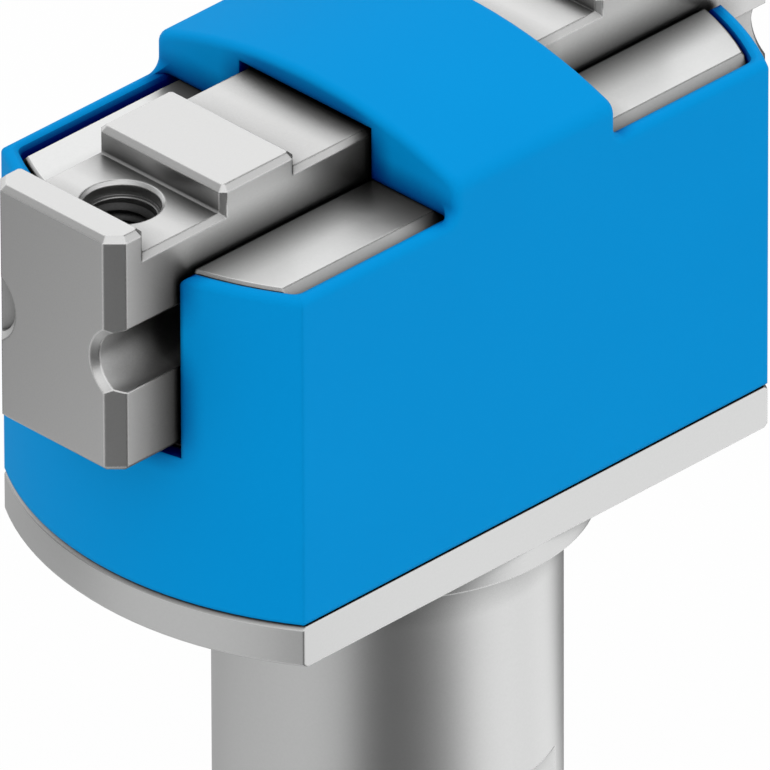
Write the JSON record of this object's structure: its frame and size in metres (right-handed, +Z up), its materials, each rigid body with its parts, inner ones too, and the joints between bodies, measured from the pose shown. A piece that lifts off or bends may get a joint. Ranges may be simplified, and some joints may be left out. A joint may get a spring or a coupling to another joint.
{
  "type": "parallel gripper",
  "caption": "Small single-acting pneumatic parallel gripper with a round clamping stem and two sliding jaws under a blue arched cover.",
  "frame": {"origin": "centre of the clamping stem's lower end, at the base of the part", "axes": "+Z up along the stem to the jaws, X along the jaws' travel, -Y on the side with the stem's flat"},
  "size_m": [0.0392, 0.018, 0.0444],
  "materials": {
    "housing_aluminium": "fine turned and milled, plain silver",
    "cover_blue": "moulded, satin blue",
    "jaw_steel": "hardened and ground, matte",
    "ground_steel": "hardened and ground",
    "zinc_steel": "zinc plated",
    "black_steel": "black oxide",
    "spring_steel": "drawn wire, lightly oiled",
    "piston_aluminium": "turned",
    "cap_aluminium": "turned and anodised, natural grey",
    "bush_bronze": "sintered bronze",
    "seal_rubber": "moulded, black",
    "ring_plastic": "turned, cream"
  },
  "bodies": {
    "housing_unit": {"housing": "housing_aluminium", "cover": "cover_blue", "front_guide_rod": "ground_steel", "rear_guide_rod": "ground_steel", "front_set_screw": "black_steel", "rear_set_screw": "black_steel", "rod_bush": "bush_bronze", "end_cap": "cap_aluminium", "end_cap_seal": "seal_rubber", "buffer_ring": "seal_rubber", "retaining_ring": "black_steel", "return_spring": "spring_steel"},
    "piston_unit": {"drive_wedge": "ground_steel", "wedge_screw": "black_steel", "piston_rod": "ground_steel", "piston": "piston_aluminium", "piston_nut": "zinc_steel", "piston_seal": "seal_rubber", "piston_guide_ring": "ring_plastic", "spring_seat": "zinc_steel"},
    "left_jaw_unit": {"left_jaw": "jaw_steel"},
    "right_jaw_unit": {"right_jaw": "jaw_steel"}
  },
  "joints": [
    {"name": "piston_slide", "type": "slide", "parent": "housing_unit", "child": "piston_unit", "axis": [0, 0, 1], "range_m": [0, 0.003], "stiffness_N_per_m": 800, "springref_m": -0.005, "deforming": ["return_spring"]},
    {"name": "left_jaw_slide", "type": "slide", "parent": "housing_unit", "child": "left_jaw_unit", "axis": [1, 0, 0], "range_m": [0, 0.003]},
    {"name": "right_jaw_slide", "type": "slide", "parent": "housing_unit", "child": "right_jaw_unit", "axis": [-1, 0, 0], "range_m": [0, 0.003]}
  ],
  "couplings": [
    {"joint": "left_jaw_slide", "follows": "piston_slide", "ratio": 1},
    {"joint": "right_jaw_slide", "follows": "piston_slide", "ratio": 1}
  ]
}
